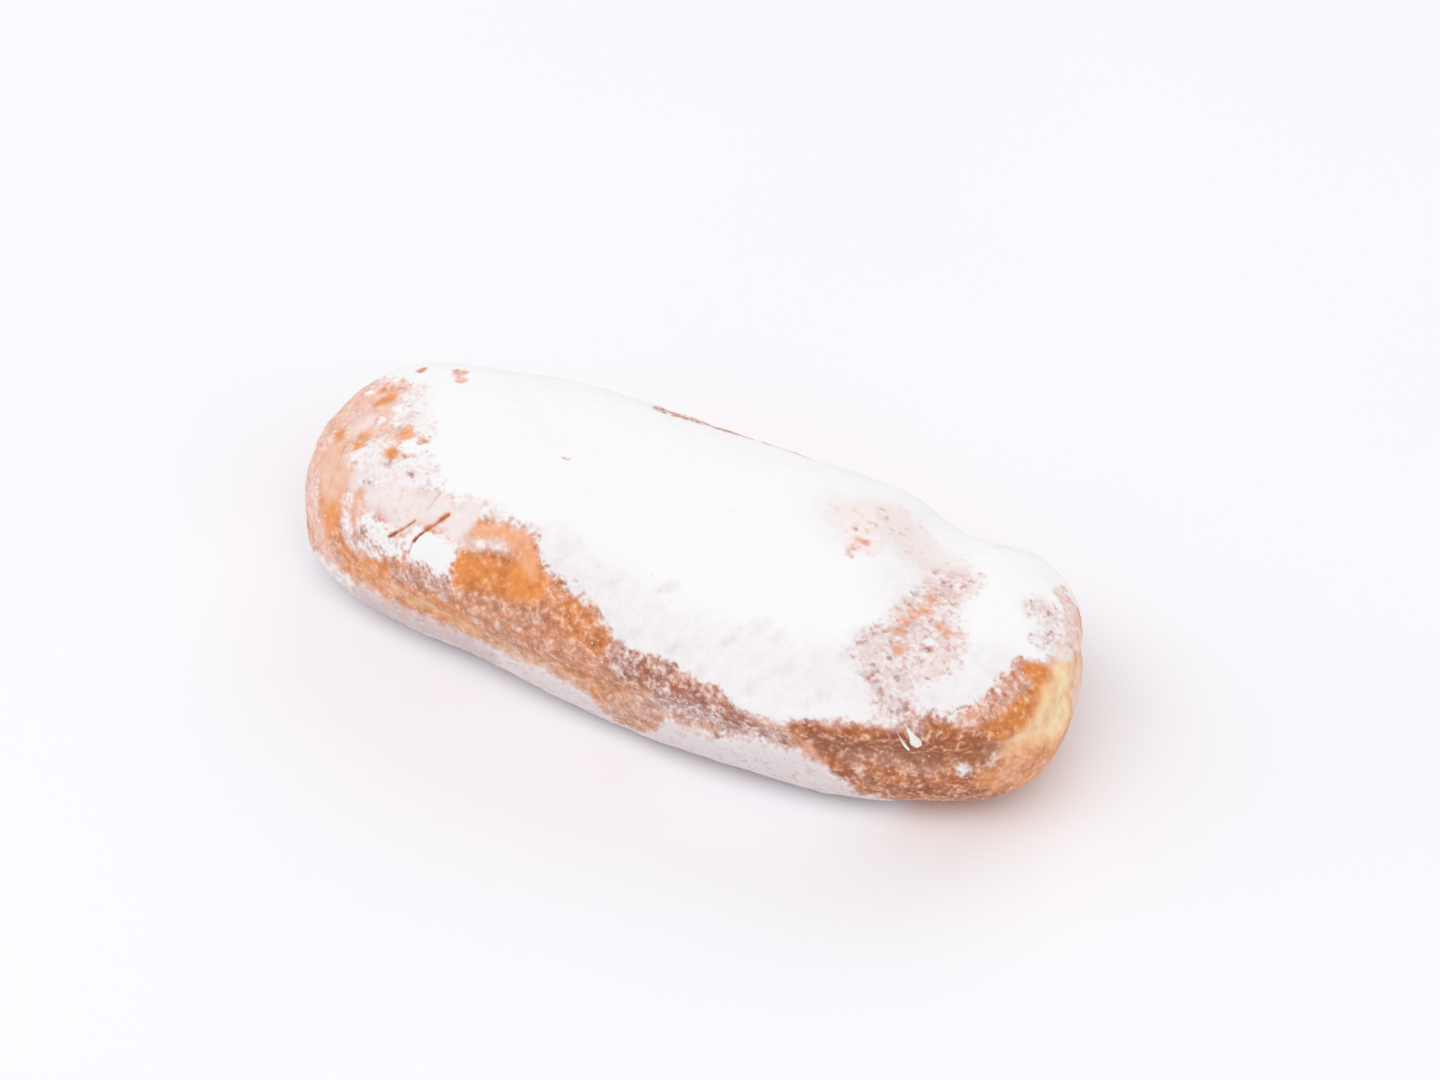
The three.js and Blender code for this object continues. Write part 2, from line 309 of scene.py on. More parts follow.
    "orange cluster in the saddle": dict(spots=(
        (48.3, 0.3, 31.6), (48.5, -2.4, 31.7), (47.6, -4.6, 32.1), (47, -7.5, 32.3), (46.9, -10.2, 32.2),
        (48, -13.6, 31.6), (51.9, -4.4, 31.1), (54, -4.8, 30.7), (31.9, 6.2, 34.3)),
        reach=0.2, edge=1.9, sugar=0.2, dust=0.1, brown=0.25),
    "dark red spots in the saddle": dict(spots=((51.7, -8.2, 31.1), (52.5, -10.4, 30.9), (46.4, -20.2, 30)),
        reach=0.2, edge=1.3, sugar=0.35, brown=0.75),
    "orange slash in the saddle": dict(path=((31.4, 1.2, 34.5), (31.3, 4, 34.5), (31.9, 5.6, 34.3)),
        reach=0.3, edge=1.3, sugar=0.35, brown=0.4, dust=0.35),
    "specks beside the slash": dict(spots=(
        (29.6, 7.9, 34.4), (31.3, 8.5, 34.1), (31.6, 10.8, 33.8), (30.9, 15.9, 33), (32.7, 14.6, 32.8)),
        reach=0.1, edge=1.3, sugar=0.55, brown=0.5),
    # Painted shadow: bare brown crust beside the flake, where its shadow falls
    "painted shadow above the flake": dict(path=((53.8, -22.6, 27), (56.5, -23.8, 25.3)),
        reach=0.6, edge=1.6, sugar=0.4, brown=0.7, dust=0.2),
    "bare line along the back": dict(path=(
        (-17, 23.2, 32.3), (-8, 24.8, 31.3), (2, 26.2, 30.3), (11, 26.3, 29.8)),
        reach=0.6, edge=3, sugar=0.4, brown=0.6),
    "orange spot at the back": dict(path=((-54.2, 14, 34.1), (-52.9, 11.2, 35)),
        reach=0.4, edge=1.6, sugar=0.34, dust=0.25, brown=0),
    "pink spot at the back": dict(spots=((-61.9, 12.1, 33),), reach=0.5, edge=1.5, sugar=0.3, brown=0.2),
    "speckled band of the back": dict(path=(
        (-62, 20, 17), (-40, 28, 15), (-12, 30, 19), (15, 31, 18), (40, 29, 15), (60, 24, 16)),
        reach=2.5, edge=6, sugar=0.32, brown=0.5, specks=0.15),
    "bare patch of the back": dict(path=((-22, 29, 19), (-12, 29.5, 22), (-3, 30, 22)),
        reach=3.2, edge=5, sugar=0.1, brown=0.2),
    "second bare patch of the back": dict(path=((18, 31, 18), (28, 31, 16)),
        reach=2, edge=5, sugar=0.14, brown=0.35),
    "orange spots on the tall end": dict(spots=(
        (-54.1, -7, 35.4), (-62, -8.4, 32.9), (-62.2, -10.4, 32.2), (-68.1, -7.5, 30.1),
        (-54.3, -11.5, 34.4)), reach=0.5, edge=1.9, sugar=0.05, brown=0.15),
    "gold streak on the tall end": dict(path=((-63, 2.8, 33.4), (-64.3, 0.8, 32.9)),
        reach=0.4, edge=1.5, sugar=0.04, brown=0.25),
    "red streak on the tall end": dict(path=((-65.1, 5.1, 32.7), (-62.1, 5.4, 33.7)),
        reach=0.3, edge=1.4, sugar=0.15, brown=0.5),
    "pink spots on the tall end": dict(spots=(
        (-51.3, -11.4, 34.9), (-49.9, -7.5, 35.8), (-61.3, -14.2, 30.6), (-64.8, -10.9, 30.6),
        (-70.1, 7.6, 29.8)), reach=0.3, edge=1.6, sugar=0.4, brown=0.4),
    "white dabs on the tall end": dict(spots=(
        (-67.9, 4, 31.5), (-60.5, -4.3, 34.1), (-52.7, -9.7, 35.2), (-61.2, -12.5, 31.6),
        (-59.3, -0.5, 34.5)), reach=0.4, edge=1.6, sugar=1),
    # Painted shade: streaks of damp grey for the shade in small hollows of the powder
    "streaks of painted shade in the sugar": dict(spots=(
        (-7.4, -21.8, 33.8), (31.2, -25.4, 29), (2.5, -28.4, 27.3), (28.1, -20.8, 31.9),
        (-2.6, -27.2, 29.2), (57, -19.4, 28.5), (20.5, -24.2, 30.6), (40, -20.6, 31), (26.7, -28.8, 26.2),
        (16.4, -30.2, 24.5), (10.8, -28, 27.7), (38.4, -27.2, 26.4), (-14.2, -23.4, 33.6), (-3, -22.8, 33),
        (5.6, -20.4, 33.1)), run=(1.1, 1.3, 0.7), reach=0.1, edge=1.7, damp_and_shade=0.4),
    "faint streaks of painted shade in the sugar": dict(spots=(
        (23.6, -21.2, 32), (40.7, -15, 32.7), (-13.8, -20.4, 35), (-30.2, -20.4, 34.6), (52.4, 21.3, 28.2),
        (63.7, -9.3, 28.7), (-6.6, -24.5, 31.8), (14, -26.5, 28.6), (34.5, -23, 30.3), (-9.5, -24, 32.4)),
        run=(1.6, 1.8, 0.9), reach=0.2, edge=2.2, damp_and_shade=0.3),
    "grey slash at the edge of the saddle": dict(path=((46.5, -21.5, 29.3), (48.8, -22.1, 28.4)),
        reach=0.1, edge=1.2, damp_and_shade=1.1),
    "dark specks in the sugar": dict(spots=(
        (-23.9, -1.6, 36.9), (-48.3, -14.5, 34.2), (-54, -13.8, 33.6), (-54.6, -22.3, 24.3)),
        reach=0.1, edge=1.4, sugar=0.55, brown=0.8),
    "dark streak in the film": dict(path=((-57.9, -17.2, 30.1), (-53.6, -17.4, 31.8)),
        reach=0.1, edge=1, sugar=0.75, brown=0.8),
}

# Seed of the noise vectors, which would differ from run to run without it
NOISE_SEED = 1

# Noises on the dough: the size of their features in millimetres, and offsets that set them apart
WANDERING = dict(size=7.0)
WAVERING = dict(size=2.4, offset=9.0)
FRAYING = dict(size=1.5, octaves=2, offset=21.0)
GRAIN = dict(size=1.9, octaves=2)
LUMPS = dict(size=5.0, octaves=3, offset=4.0)
BLISTERS = dict(size=2.6, octaves=3, offset=11.0)

# How far noise shifts and frays the coat's edges, in millimetres, and its shares for spots and for paths
WARP_DISTANCE = 0.7
FRAY_DISTANCE = 0.7
SPOT_WARP = 0.5
PATH_FRAY = 0.6

# Where the front gives way to the back, and how the sugar fades at its edges, in millimetres
FRONT_TO_BACK = (-9, 9)
TOP_FADE = (-2.8, 1.8)
FOOT_FADE = (1.8, -1.6)

# The shares of the pale ring's reach between which it fades in
PALE_FADE = (1.0, 0.15)

# The amounts on plain crust, in the thick sugar on top, at its edge, and in the sugar on the lower half,
# whose damp grey is painted shade
PLAIN_CRUST = dict(sugar=0.24, brown=0.4)
TOP_SUGAR = 1.15
TOP_EDGE_DUST = 2.4
FOOT_COAT = dict(sugar=0.78, dust=0.8, damp_and_shade=0.45)

# The painted amounts at which no sugar shows and at which it covers the crust
SUGAR_NONE = 0.0
SUGAR_FULL = 1.05

# How much its grain roughens the sugar's edge, and the share of the blisters' height that thick sugar hides
GRAIN_SHARE = 0.2
HIDDEN_BLISTERS = 0.7

# The levels over the floor, in millimetres, between which the coat's relief sets in
FLOOR_FADE = (0.0, 2.0)

# The amounts of sugar between which loose clumps set in and end, and the share of them that lies anywhere
CLUMPS_BEGIN = (0.08, 0.3)
CLUMPS_END = (0.98, 0.6)
STRAY_CLUMPS = 0.04

# The crease in the waist near the low end, a groove darkened with painted shade
CREASE = {
    "upper part": dict(path=((42, -28, 17.6), (46, -27.4, 18.6), (49.3, -26.7, 19.5), (54.3, -25.6, 20.4)),
        strength=1.0),
    "lower part": dict(path=(
        (54.5, -24.8, 18.4), (57.5, -23.6, 17.6), (60, -22.6, 17.3), (64, -20.8, 17.2)), strength=0.8),
}

# How far from its middle the crease is a groove and is darkened with painted shade, in millimetres, and how
# brown that painted shade is
CREASE_REACH = 1.5
CREASE_SHADE = dict(reach=1.4, brown=0.9)

# Scratches in the sugar at the tall end, and how deep and dark each is
SCRATCHES = {
    "faint start of the first": dict(path=((-41.1, -17.2, 34.5), (-42.4, -20, 32.5)), strength=0.4),
    "dark end of the first": dict(path=((-44, -21.7, 30.5), (-46, -22.7, 28.5), (-48.4, -23.3, 26.1)),
        strength=0.95),
    "second": dict(path=(
        (-37.8, -20.4, 33.4), (-39.4, -21.8, 31.9), (-42.3, -23.5, 28.9), (-43, -24, 27.6)), strength=0.95),
    "faint end of the second": dict(path=((-43, -24, 27.6), (-43.8, -25, 24.8)), strength=0.5),
}

# How far from its middle a scratch is a groove and is bare, in millimetres, and how brown it is
SCRATCH_REACH = 0.42
SCRATCH_SHADE = dict(reach=0.28, brown=0.55)

# Flakes of caked sugar on the front near the low end, in millimetres, each with its ends on the crust
FLAKES = {
    "petal": dict(upper=(54.3, -24.0, 25.9), lower=(57.8, -24.7, 22.3), width=1.6, lift=0.4, curl=0.5),
    "splinter": dict(upper=(53.6, -25.3, 24.5), lower=(56.1, -25.5, 21.2), width=0.55, lift=0.3, curl=0.1),
}

# The way that the flakes face, how ragged their edges are, and in millimetres their thickness, their gap
# to the crust, the length of their teeth and how far they are crumpled
FLAKE_OUTWARD = (0.28, -0.85, 0.4)
FLAKE_RAGGEDNESS = 0.5
FLAKE_THICKNESS = 0.26
FLAKE_GAP = 0.15
FLAKE_TOOTH = 1.4
FLAKE_CRUMPLE = 0.1

# The softboxes, in metres: where each hangs, its width and length, and its share of the largest one's power
SOFTBOXES = {
    "over the front": dict(place=(0.0, -1.0, 2.2), size=(3.4, 1.6), share=1.0),
    "overhead": dict(place=(0.0, -0.1, 2.4), size=(3.4, 3.0), share=0.1),
    "behind": dict(place=(0.0, 2.0, 1.3), size=(1.8, 1.8), share=0.43),
    "left": dict(place=(-2.0, -0.5, 1.3), size=(1.8, 1.8), share=0.29),
    "right": dict(place=(2.0, -0.6, 1.3), size=(1.8, 1.8), share=0.24),
}

# The floor's half width in metres, the size of its faint clouds in millimetres, and its greyer shade
FLOOR_HALF = 2.0
FLOOR_CLOUDS = 220.0
FLOOR_GREY = 0.985

# The point of the floor in the middle of the picture, and the width of the camera's sensor, in millimetres
LOOKED_AT = (-7.19, 27.39, 0)
SENSOR_WIDTH = 36


# Small helpers


def smoothstep(low, high, values):
    share = np.clip((values - low) / (high - low), 0, 1)
    return share * share * (3 - 2 * share)


def level_along(edge, along):
    places, levels = zip(*edge)
    return np.interp(along, places, levels)


def offset_from_path(points, path):
    """The way to each point from the nearest place on a path of straight stretches."""
    corners = np.array(path, float)
    offset = np.full(points.shape, np.inf)
    for start, end in zip(corners[:-1], corners[1:]):
        run = end - start
        share = np.clip((points - start) @ run / (run @ run), 0, 1)
        found = points - start - share[:, None] * run
        nearer = np.linalg.norm(found, axis=1) < np.linalg.norm(offset, axis=1)
        offset[nearer] = found[nearer]
    return offset


def distance_to_path(points, path):
    return np.linalg.norm(offset_from_path(points, path), axis=1)


def distance_to_spots(points, spots):
    return np.minimum.reduce([np.linalg.norm(points - np.array(spot, float), axis=1) for spot in spots])


def distance_to_streaks(points, starts, run):
    """Distance to the nearest of some straight streaks, which all run the same way."""
    paths = [(start, np.add(start, run)) for start in starts]
    return np.minimum.reduce([distance_to_path(points, path) for path in paths])


def noise_at(points, size, octaves, offset=0.0):
    """Soft noise from about -1 to 1, with features of the given size in millimetres."""
    shift = Vector((offset, offset * 0.7, -offset))
    smoothness, step = 1.0, 2.0
    return np.array([noise.fractal(Vector(p) + shift, smoothness, step, octaves) for p in points / size])


def noise_vectors(points, size, offset=0.0):
    """Soft noise in all three directions, with features of the given size in millimetres."""
    shift = Vector((offset, -offset, offset * 0.5))
    return np.array([noise.noise_vector(Vector(p) + shift) for p in points / size])


def vectors_of(parts, key):
    """A vector of each of a mesh's points, as rows of an array."""
    values = np.empty(len(parts) * 3, np.float32)
    parts.foreach_get(key, values)
    return values.reshape(-1, 3).astype(float)


def add_object(name, data):
    obj = bpy.data.objects.new(name, data)
    bpy.context.scene.collection.objects.link(obj)
    return obj


def take_finished_mesh(obj):
    """Turns the modifiers' result into the object's own plain mesh."""
    graph = bpy.context.evaluated_depsgraph_get()
    mesh = bpy.data.meshes.new_from_object(obj.evaluated_get(graph))
    obj.modifiers.clear()
    obj.data = mesh
    return mesh


# Node trees, written as expressions


class Value:
    """An output socket that takes part in Python's arithmetic, each operation adding a Math node."""

    def __init__(self, graph, socket):
        self.graph = graph
        self.socket = socket

    def __add__(self, other):
        return self.graph.math("ADD", self, other)

    def __sub__(self, other):
        return self.graph.math("SUBTRACT", self, other)

    def __mul__(self, other):
        return self.graph.math("MULTIPLY", self, other)

    def __rsub__(self, other):
        return self.graph.math("SUBTRACT", other, self)

    __radd__ = __add__


class Graph:
    """A node tree, and the ways in which this file adds to it."""

    def __init__(self, tree):
        self.tree = tree

    def set_input(self, socket, value):
        if isinstance(value, Value):
            self.tree.links.new(value.socket, socket)
        else:
            socket.default_value = value

    def add(self, kind, settings=None, inputs=None):
        """Adds a node of a type, with its settings first and then the values or links of its sockets."""
        node = self.tree.nodes.new(kind)
        for name, value in (settings or {}).items():
            setattr(node, name, value)
        for key, value in (inputs or {}).items():
            self.set_input(node.inputs[key], value)
        return node

    def value(self, node, output=0):
        return Value(self, node.outputs[output])

    def math(self, operation, *terms):
        node = self.add("ShaderNodeMath", {"operation": operation}, dict(enumerate(terms)))
        return self.value(node)

    def smoothstep(self, value, low, high):
        node = self.add(
            "ShaderNodeMapRange", {"interpolation_type": "SMOOTHSTEP"},
            {"Value": value, "From Min": low, "From Max": high})
        return self.value(node)

    def noise(self, place, size, detail=2.0):
        """Noise about 0 that stays mostly within -1 to 1, with features of the given size in millimetres."""
        node = self.add(
            "ShaderNodeTexNoise", None, {"Vector": place, "Scale": 1 / (size * MM), "Detail": detail})
        middle, widening = 0.5, 6.0
        return (self.value(node, "Fac") - middle) * widening

    def mix(self, share, first, second):
        """A colour between two others."""
        factor, a, b, result = 0, 6, 7, 2
        node = self.add("ShaderNodeMix", {"data_type": "RGBA"}, {factor: share, a: first, b: second})
        return self.value(node, result)

    def attribute(self, name):
        return self.value(self.add("ShaderNodeAttribute", {"attribute_name": name}), "Fac")


def opaque(colour):
    return (*colour, 1.0)


def new_finish(name):
    """A material with its graph, its shader and the coordinates of the object that it is on."""
    material = bpy.data.materials.new(name)
    material.use_nodes = True
    graph = Graph(material.node_tree)
    shader = material.node_tree.nodes["Principled BSDF"]
    place = graph.value(graph.add("ShaderNodeTexCoord"), "Object")
    return material, graph, shader, place


def set_finish(graph, shader, colour, roughness, strength, depth, relief):
    """Gives a shader its colour, its roughness and a relief that is up to a depth in millimetres."""
    graph.set_input(shader.inputs["Base Color"], colour)
    graph.set_input(shader.inputs["Roughness"], roughness)
    shader.inputs["Specular IOR Level"].default_value = 0.3
    bump = graph.add("ShaderNodeBump", None, {"Strength": strength, "Distance": depth * MM, "Height": relief})
    graph.set_input(shader.inputs["Normal"], graph.value(bump))


def sugared_crust(dough, sugar):
    """Fried crust with powdered sugar on it, by the amounts that are painted on the mesh.

    The factors in it weigh the noises against those amounts."""
    material, graph, shader, place = new_finish("sugared crust")
    deposit = graph.attribute("sugar")
    dust = graph.attribute("dust")
    browning = graph.attribute("brown")
    paleness = graph.attribute("pale")
    damp_and_shade = graph.attribute("damp_and_shade")

    blotch = graph.noise(place, size=6.0)
    mottle = graph.noise(place, size=2.2)
    fine = graph.noise(place, size=0.9, detail=1)
    dots = graph.noise(place, size=1.5, detail=1)
    speck = graph.attribute("specks") * graph.smoothstep(dots, 0.4, 1.2)

    # Crust: golden to brown in blotches and browner in its specks, with pale flecks and a pale waist
    fried = browning + blotch * 0.1 - mottle * 0.2 - fine * 0.2 * (browning + 0.1) + speck * 0.25
    crust = graph.mix(graph.smoothstep(fried, -0.1, 1.1), opaque(dough.golden), opaque(dough.brown))
    fleck_strength = graph.smoothstep(browning, 0.15, 0.45) * 0.28 + 0.22
    fleck = graph.smoothstep(fine * 0.6 + mottle * 0.5, 0.1, 1.5) * fleck_strength
    waist = paleness * (0.9 - browning * 0.5 + mottle * 0.2)
    crust = graph.mix(graph.math("MAXIMUM", fleck, waist), crust, opaque(dough.pale))

    # Sugar: the grain of the powder breaks up the painted amount, an even film of dust lies over the rest,
    # and neither is left on the specks
    thin = graph.smoothstep(deposit, 0.15, 0.6) * 0.6 + 0.4
    thick = graph.smoothstep(deposit, 0.75, 1.1) * 0.75
    coarse = thin * (1.0 - thick)
    grain = (fine * 0.28 + mottle * 0.22 + blotch * 0.1) * coarse
    bare = 1.0 - graph.smoothstep(deposit + grain - speck * 0.8, SUGAR_NONE, SUGAR_FULL)
    film = dust * (1.0 - speck)
    white = 1.0 - bare * graph.math("EXPONENT", film * (blotch * 0.16 + fine * 0.14 - 1.0))
    powder = graph.mix(graph.smoothstep(white, 0.3, 1.0), opaque(sugar.film), opaque(sugar.white))
    # The damp grey: damp sugar in the films, and painted shade on the front slope, the lower half and in
    # streaks
    powder = graph.mix(damp_and_shade * (1.0 + mottle * 0.3 + fine * 0.2), powder, opaque(sugar.damp_and_shade))
    colour = graph.mix(white, crust, powder)

    relief = fine * 0.3 + mottle * 0.25 + white * 0.8
    set_finish(graph, shader, colour, 0.56 + white * 0.36, strength=0.6, depth=0.12, relief=relief)
    return material


def loose_sugar(name, colour):
    """Powdered sugar that has caked into clumps."""
    material, graph, shader, place = new_finish(name)
    fine = graph.noise(place, 0.3)
    shade = graph.smoothstep(fine, -1.0, 1.0)
    greyer = tuple(0.93 * channel for channel in colour)
    mixed = graph.mix(shade, opaque(greyer), opaque(colour))
    set_finish(graph, shader, mixed, 0.86 + shade * 0.1, strength=0.4, depth=0.06, relief=fine)
    return material


# The dough and its coat


def remeshed_dough(step):
    """A copy of the solid with points all over it at an even distance, smoothed."""
    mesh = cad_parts[NODE].data.copy()
    merged = bmesh.new()
    merged.from_mesh(mesh)
    bmesh.ops.remove_doubles(merged, verts=merged.verts, dist=0.01 * MM)
    merged.to_mesh(mesh)
    merged.free()
    obj = add_object("doughnut_crust", mesh)
    remesh = obj.modifiers.new("even points", "REMESH")
    remesh.mode = "VOXEL"
    remesh.voxel_size = step
    smooth = obj.modifiers.new("no steps", "SMOOTH")
    smooth.factor = 0.5
    smooth.iterations = 8
    take_finished_mesh(obj)
    return obj


def add_points_near(mesh, marks, reach, cuts):
    """Splits the mesh's edges near narrow marks, so that they have points enough."""
    split = bmesh.new()
    split.from_mesh(mesh)
    places = vectors_of(mesh.vertices, "co") / MM
    near = np.minimum.reduce([distance_to_path(places, mark["path"]) for mark in marks.values()]) < reach
    edges = [edge for edge in split.edges if all(near[vert.index] for vert in edge.verts)]
    bmesh.ops.subdivide_edges(split, edges=edges, cuts=cuts, use_grid_fill=True)
    split.to_mesh(mesh)
    split.free()


def paint_coat(points):
    """The amounts of sugar, dust, specks, damp, browning and paleness at each point."""
    wandering = noise_vectors(points, **WANDERING) * WARP_DISTANCE
    warp = wandering + noise_vectors(points, **WAVERING) * WARP_DISTANCE
    fray = noise_at(points, **FRAYING) * FRAY_DISTANCE
    along, across, up = (points + warp).T
    back = smoothstep(*FRONT_TO_BACK, across)

    def edge_level(front_edge, back_edge):
        return (1 - back) * level_along(front_edge, along) + back * level_along(back_edge, along)

    top = smoothstep(*TOP_FADE, up - edge_level(FRONT_EDGE, BACK_EDGE))
    foot = smoothstep(*FOOT_FADE, up - edge_level(FRONT_LOWER_EDGE, BACK_LOWER_EDGE))
    off_pale = np.abs(up - level_along(PALE_LEVEL, along)) / level_along(PALE_REACH, along)
    plain_sugar = np.full(len(points), PLAIN_CRUST["sugar"])
    coat = {
        "sugar": np.maximum.reduce([plain_sugar, TOP_SUGAR * top, FOOT_COAT["sugar"] * foot]),
        "dust": np.maximum(FOOT_COAT["dust"] * foot, TOP_EDGE_DUST * top * (1 - top)),
        "specks": np.zeros(len(points)),
        "damp_and_shade": FOOT_COAT["damp_and_shade"] * foot,
        "brown": np.full(len(points), PLAIN_CRUST["brown"]),
        "pale": smoothstep(*PALE_FADE, off_pale) * level_along(PALE_STRENGTH, along),
    }
    for stroke in STROKES.values():
        if "run" in stroke:
            nearest = distance_to_streaks(points + warp, stroke["spots"], stroke["run"]) + fray
        elif "spots" in stroke:
            nearest = distance_to_spots(points + SPOT_WARP * warp, stroke["spots"]) + fray
        else:
            nearest = distance_to_path(points + warp, stroke["path"]) + PATH_FRAY * fray
        share = smoothstep(stroke["edge"], 0, nearest - stroke["reach"])
        for amount in coat:
            if amount in stroke:
                coat[amount] += share * (stroke[amount] - coat[amount])
            elif amount in ("dust", "specks", "damp_and_shade"):
                coat[amount] *= 1 - share
    return coat


def groove(points, normals, marks, reach):
    """A groove along each mark's path, as deep as its strength in the middle and 0 at its edges."""
    depth = np.zeros(len(points))
    farthest = 3.0
    for mark in marks.values():
        offset = offset_from_path(points, mark["path"])
        off_surface = np.sum(offset * normals, axis=1)
        aside = np.linalg.norm(offset - off_surface[:, None] * normals, axis=1)
        near = np.abs(off_surface) < farthest
        depth = np.maximum(depth, near * mark["strength"] * np.exp(-(aside / reach) ** 2))
    return depth


def raise_coat(points, normals, coat, dough, sugar):
    """Height of the coat's relief over the smooth dough, in millimetres."""
    grain = noise_at(points, **GRAIN)
    lumps = noise_at(points, **LUMPS)
    blisters = noise_at(points, **BLISTERS)
    thick = smoothstep(SUGAR_NONE, SUGAR_FULL, coat["sugar"] + GRAIN_SHARE * grain)
    relief = thick * (sugar.depth + sugar.unevenness * lumps) / MM
    relief += (1 - HIDDEN_BLISTERS * thick) * blisters * dough.blister_height / MM
    relief -= groove(points, normals, CREASE, CREASE_REACH) * dough.crease_depth / MM
    relief -= groove(points, normals, SCRATCHES, SCRATCH_REACH) * dough.scratch_depth / MM
    return relief


def mark_coat(points, normals, coat):
    """Bares and browns the coat in the scratches, and paints shade into the crease as brown crust."""
    scratch = groove(points, normals, SCRATCHES, SCRATCH_SHADE["reach"])
    coat["sugar"] *= 1 - scratch
    coat["dust"] *= 1 - scratch
    half_deep = 0.5
    scratch_brown = SCRATCH_SHADE["brown"] * smoothstep(0.0, half_deep, scratch)
    # Painted shade: the crease is browned where shade falls in its groove
    crease_painted_shade = CREASE_SHADE["brown"] * groove(points, normals, CREASE, CREASE_SHADE["reach"])
    coat["brown"] = np.maximum.reduce([coat["brown"], scratch_brown, crease_painted_shade])


def add_amounts(mesh, name, amounts):
    """Stores an amount at each point of the mesh, for the finish and for the loose clumps."""
    layer = mesh.attributes.new(name, "FLOAT", "POINT")
    layer.data.foreach_set("value", amounts.astype(np.float32))


def make_crust(dough, sugar):
    noise.seed_set(NOISE_SEED)
    obj = remeshed_dough(dough.mesh_step)
    mesh = obj.data
    add_points_near(mesh, SCRATCHES, reach=1.6, cuts=2)
    points = vectors_of(mesh.vertices, "co") / MM
    normals = vectors_of(mesh.vertex_normals, "vector")
    coat = paint_coat(points)
    mark_coat(points, normals, coat)
    off_floor = smoothstep(*FLOOR_FADE, points[:, 2])
    moved = points + normals * (off_floor * raise_coat(points, normals, coat, dough, sugar))[:, None]
    moved[:, 2] = np.maximum(moved[:, 2], 0)
    mesh.vertices.foreach_set("co", (moved * MM).astype(np.float32).ravel())
    for name, amounts in coat.items():
        add_amounts(mesh, name, amounts)
    partly = smoothstep(*CLUMPS_BEGIN, coat["sugar"]) * smoothstep(*CLUMPS_END, coat["sugar"])
    add_amounts(mesh, "clumps", (STRAY_CLUMPS + partly) * off_floor)
    mesh.shade_smooth()
    mesh.materials.clear()
    mesh.materials.append(sugared_crust(dough, sugar))
    return obj


# Loose sugar


def clump_tree(material):
    """Small irregular clumps on the faces of a mesh, denser where its clumps attribute is larger."""
    tree = bpy.data.node_groups.new("loose clumps", "GeometryNodeTree")
    kinds = {"Crust": "Geometry", "Smallest": "Float", "Largest": "Float", "Density": "Float", "Seed": "Int"}
    sockets = {}
    for name, kind in kinds.items():
        socket = tree.interface.new_socket(name, in_out="INPUT", socket_type="NodeSocket" + kind)
        sockets[name] = socket.identifier
    tree.interface.new_socket("Clumps", in_out="OUTPUT", socket_type="NodeSocketGeometry")
    graph = Graph(tree)
    given = graph.add("NodeGroupInput")
    inputs = {name: graph.value(given, name) for name in kinds}

    named = graph.add("GeometryNodeInputNamedAttribute", {"data_type": "FLOAT"}, {"Name": "clumps"})
    points = graph.add(
        "GeometryNodeDistributePointsOnFaces", None,
        {"Mesh": inputs["Crust"], "Density": graph.value(named) * inputs["Density"], "Seed": inputs["Seed"]})
    ball = graph.add("GeometryNodeMeshIcoSphere", None, {"Radius": 1.0, "Subdivisions": 1})
    full_turn = 2 * math.pi
    turn = graph.add("FunctionNodeRandomValue", {"data_type": "FLOAT_VECTOR"}, {"Max": (full_turn,) * 3})
    narrowest, widest = (0.6, 0.6, 0.5), (1.5, 1.5, 0.9)
    squeeze = graph.add(
        "FunctionNodeRandomValue", {"data_type": "FLOAT_VECTOR"},
        {"Min": narrowest, "Max": widest, "Seed": 3})
    size = graph.add("FunctionNodeRandomValue", {"data_type": "FLOAT"}, {"Seed": 8})
    mostly_small = 2.5
    size_share = graph.math("POWER", graph.value(size, 1), mostly_small)
    radius = inputs["Smallest"] + size_share * (inputs["Largest"] - inputs["Smallest"])
    scale = graph.add(
        "ShaderNodeVectorMath", {"operation": "SCALE"}, {0: graph.value(squeeze), "Scale": radius})
    laid = graph.add(
        "GeometryNodeInstanceOnPoints", None,
        {"Points": graph.value(points, "Points"), "Instance": graph.value(ball),
         "Rotation": graph.value(turn), "Scale": graph.value(scale)})
    real = graph.add("GeometryNodeRealizeInstances", None, {"Geometry": graph.value(laid)})
    finished = graph.add(
        "GeometryNodeSetMaterial", None, {"Geometry": graph.value(real), "Material": material})
    graph.add("NodeGroupOutput", None, {"Clumps": graph.value(finished)})
    return tree, sockets


def make_clumps(crust, sugar):
    material = loose_sugar("loose sugar", sugar.white)
    tree, sockets = clump_tree(material)
    obj = add_object("loose_sugar_clumps", crust.data.copy())
    scatter = obj.modifiers.new("loose clumps", "NODES")
    scatter.node_group = tree
    for name, amount in (("Smallest", sugar.smallest_clump), ("Largest", sugar.largest_clump),
                         ("Density", sugar.clump_density), ("Seed", sugar.seed)):
        scatter[sockets[name]] = amount
    mesh = take_finished_mesh(obj)
    if not mesh.polygons:
        raise RuntimeError("no clump of sugar was scattered")
    mesh.shade_smooth()
    return obj


# Flakes of sugar


